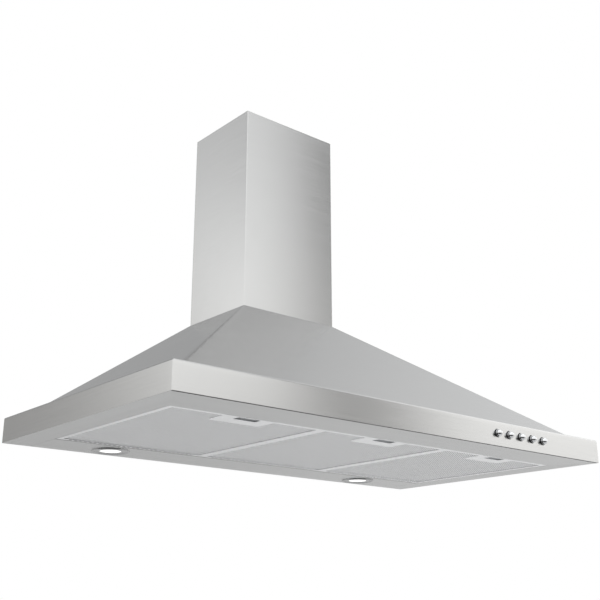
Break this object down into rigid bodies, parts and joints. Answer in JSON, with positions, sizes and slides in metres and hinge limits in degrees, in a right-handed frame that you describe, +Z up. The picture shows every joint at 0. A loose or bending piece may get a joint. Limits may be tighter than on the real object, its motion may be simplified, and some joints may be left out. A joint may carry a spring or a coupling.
{
  "type": "wall mount range hood",
  "caption": "Pyramid chimney range hood for a wall, with hinged grease filters, lamps, push buttons, blower and telescoping chimney.",
  "frame": {"origin": "on the wall plane, under the middle of the hood, level with the underside", "axes": "+X along the wall to the right seen from the room, +Y into the wall, +Z up"},
  "size_m": [0.9, 0.499, 0.6472],
  "materials": {
    "stainless": "brushed",
    "galvanised": "spangled zinc",
    "bezel": "satin",
    "lens": "frosted",
    "lamp_case": "cast",
    "filter_aluminium": "satin",
    "filter_mesh": "expanded mesh",
    "latch_grey": "satin",
    "button_chrome": "polished",
    "black_plastic": "moulded",
    "grey_plastic": "moulded",
    "white_plastic": "moulded",
    "rubber": "matt",
    "motor_case": "cast",
    "screw_steel": "zinc plated"
  },
  "bodies": {
    "hood": {"canopy": "stainless", "back_panel": "galvanised", "underside_frame": "stainless", "light_panel": "stainless", "blower_plate": "galvanised", "lamp_bezel_left": "bezel", "lamp_bezel_right": "bezel", "lamp_lens_left": "lens", "lamp_lens_right": "lens", "lamp_body_left": "lamp_case", "lamp_body_right": "lamp_case", "lamp_driver": "white_plastic", "switch_body": "black_plastic", "switch_bracket": "galvanised", "scroll_left": "black_plastic", "scroll_right": "black_plastic", "outlet_gasket": "rubber", "rubber_mounts": "rubber", "motor": "motor_case", "motor_bracket": "galvanised", "capacitor": "white_plastic", "control_box": "black_plastic", "control_box_lid": "black_plastic", "terminal_block": "white_plastic", "cable_gland": "rubber", "duct_collar": "black_plastic", "damper_pin": "screw_steel", "chimney_lower": "stainless", "blower_screws": "screw_steel", "motor_screws": "screw_steel", "collar_screws": "screw_steel", "chimney_lower_screws": "screw_steel", "panel_screws": "screw_steel"},
    "chimney_cover": {"chimney_upper": "stainless", "chimney_bracket": "galvanised", "chimney_upper_screws": "screw_steel"},
    "blower_wheel": {"impeller": "grey_plastic", "motor_shaft": "screw_steel"},
    "flap_left": {"damper_flap_left": "grey_plastic"},
    "flap_right": {"damper_flap_right": "grey_plastic"},
    "filter_1": {"filter_frame_1": "filter_aluminium", "filter_mesh_1": "filter_mesh", "latch_plate_1": "filter_aluminium", "latch_spring_1": "screw_steel"},
    "latch_1": {"latch_slider_1": "latch_grey"},
    "filter_2": {"filter_frame_2": "filter_aluminium", "filter_mesh_2": "filter_mesh", "latch_plate_2": "filter_aluminium", "latch_spring_2": "screw_steel"},
    "latch_2": {"latch_slider_2": "latch_grey"},
    "filter_3": {"filter_frame_3": "filter_aluminium", "filter_mesh_3": "filter_mesh", "latch_plate_3": "filter_aluminium", "latch_spring_3": "screw_steel"},
    "latch_3": {"latch_slider_3": "latch_grey"},
    "button_stop": {"button_stop": "button_chrome"},
    "button_low": {"button_low": "button_chrome"},
    "button_medium": {"button_medium": "button_chrome"},
    "button_high": {"button_high": "button_chrome"},
    "button_light": {"button_light": "button_chrome"}
  },
  "joints": [
    {"name": "chimney_slide", "type": "slide", "parent": "hood", "child": "chimney_cover", "axis": [0, 0, 1], "range_m": [0, 0.3]},
    {"name": "wheel_spin", "type": "hinge", "parent": "hood", "child": "blower_wheel", "pos_m": [0, -0.1525, 0.128], "axis": [1, 0, 0], "continuous": true},
    {"name": "flap_left_hinge", "type": "hinge", "parent": "hood", "child": "flap_left", "pos_m": [0, -0.084, 0.284], "axis": [0, 1, 0], "range_deg": [0, 80]},
    {"name": "flap_right_hinge", "type": "hinge", "parent": "hood", "child": "flap_right", "pos_m": [0, -0.084, 0.284], "axis": [0, -1, 0], "range_deg": [0, 80]},
    {"name": "filter_hinge_1", "type": "hinge", "parent": "hood", "child": "filter_1", "pos_m": [-0.26867, -0.088, 0.0013], "axis": [1, 0, 0], "range_deg": [0, 75]},
    {"name": "latch_slide_1", "type": "slide", "parent": "filter_1", "child": "latch_1", "axis": [0, 1, 0], "range_m": [0, 0.006], "stiffness_N_per_m": 300, "springref_m": -0.005, "deforming": ["latch_spring_1"]},
    {"name": "filter_hinge_2", "type": "hinge", "parent": "hood", "child": "filter_2", "pos_m": [0, -0.088, 0.0013], "axis": [1, 0, 0], "range_deg": [0, 75]},
    {"name": "latch_slide_2", "type": "slide", "parent": "filter_2", "child": "latch_2", "axis": [0, 1, 0], "range_m": [0, 0.006], "stiffness_N_per_m": 300, "springref_m": -0.005, "deforming": ["latch_spring_2"]},
    {"name": "filter_hinge_3", "type": "hinge", "parent": "hood", "child": "filter_3", "pos_m": [0.26867, -0.088, 0.0013], "axis": [1, 0, 0], "range_deg": [0, 75]},
    {"name": "latch_slide_3", "type": "slide", "parent": "filter_3", "child": "latch_3", "axis": [0, 1, 0], "range_m": [0, 0.006], "stiffness_N_per_m": 300, "springref_m": -0.005, "deforming": ["latch_spring_3"]},
    {"name": "button_stop_push", "type": "slide", "parent": "hood", "child": "button_stop", "axis": [0, 1, 0], "range_m": [0, 0.003], "stiffness_N_per_m": 500, "springref_m": -0.003},
    {"name": "button_low_push", "type": "slide", "parent": "hood", "child": "button_low", "axis": [0, 1, 0], "range_m": [0, 0.003], "stiffness_N_per_m": 500, "springref_m": -0.003},
    {"name": "button_medium_push", "type": "slide", "parent": "hood", "child": "button_medium", "axis": [0, 1, 0], "range_m": [0, 0.003], "stiffness_N_per_m": 500, "springref_m": -0.003},
    {"name": "button_high_push", "type": "slide", "parent": "hood", "child": "button_high", "axis": [0, 1, 0], "range_m": [0, 0.003], "stiffness_N_per_m": 500, "springref_m": -0.003},
    {"name": "button_light_push", "type": "slide", "parent": "hood", "child": "button_light", "axis": [0, 1, 0], "range_m": [0, 0.003], "stiffness_N_per_m": 500, "springref_m": -0.003}
  ]
}
